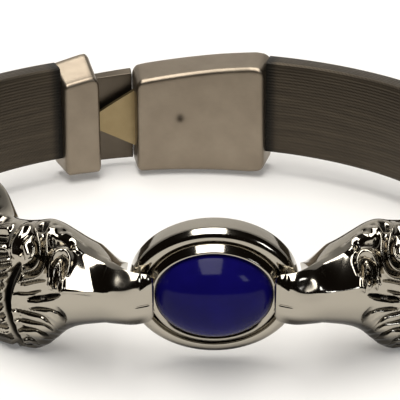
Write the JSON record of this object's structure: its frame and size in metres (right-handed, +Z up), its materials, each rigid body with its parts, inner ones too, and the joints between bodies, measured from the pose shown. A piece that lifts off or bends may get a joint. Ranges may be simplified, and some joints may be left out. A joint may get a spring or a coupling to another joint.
{
  "type": "bracelet with two animal heads holding an oval stone",
  "caption": "Bracelet with two cast maned animal heads gripping an oval blue stone in a ring setting, on a flat dark woven band closed by a box clasp.",
  "frame": {"origin": "on the surface it rests on, under the middle of the whole bracelet", "axes": "+Z up through the wrist hollow, -Y towards the stone at the front, +X to the right head as seen from the front"},
  "size_m": [0.0712, 0.0606, 0.0175],
  "materials": {
    "polished_silver": "polished, with dark oxidised recesses",
    "setting_silver": "polished",
    "blue_stone": "polished, glossy",
    "woven_band": "fine lengthwise weave, darkened",
    "satin_silver": "satin",
    "tongue_brass": "satin"
  },
  "bodies": {
    "root": {"head_left": "polished_silver", "head_right": "polished_silver", "stone_setting": "setting_silver", "stone": "blue_stone", "band_left": "woven_band", "band_right": "woven_band", "clasp_box": "satin_silver", "clasp_end_cap": "satin_silver", "clasp_tongue": "tongue_brass"}
  },
  "joints": []
}
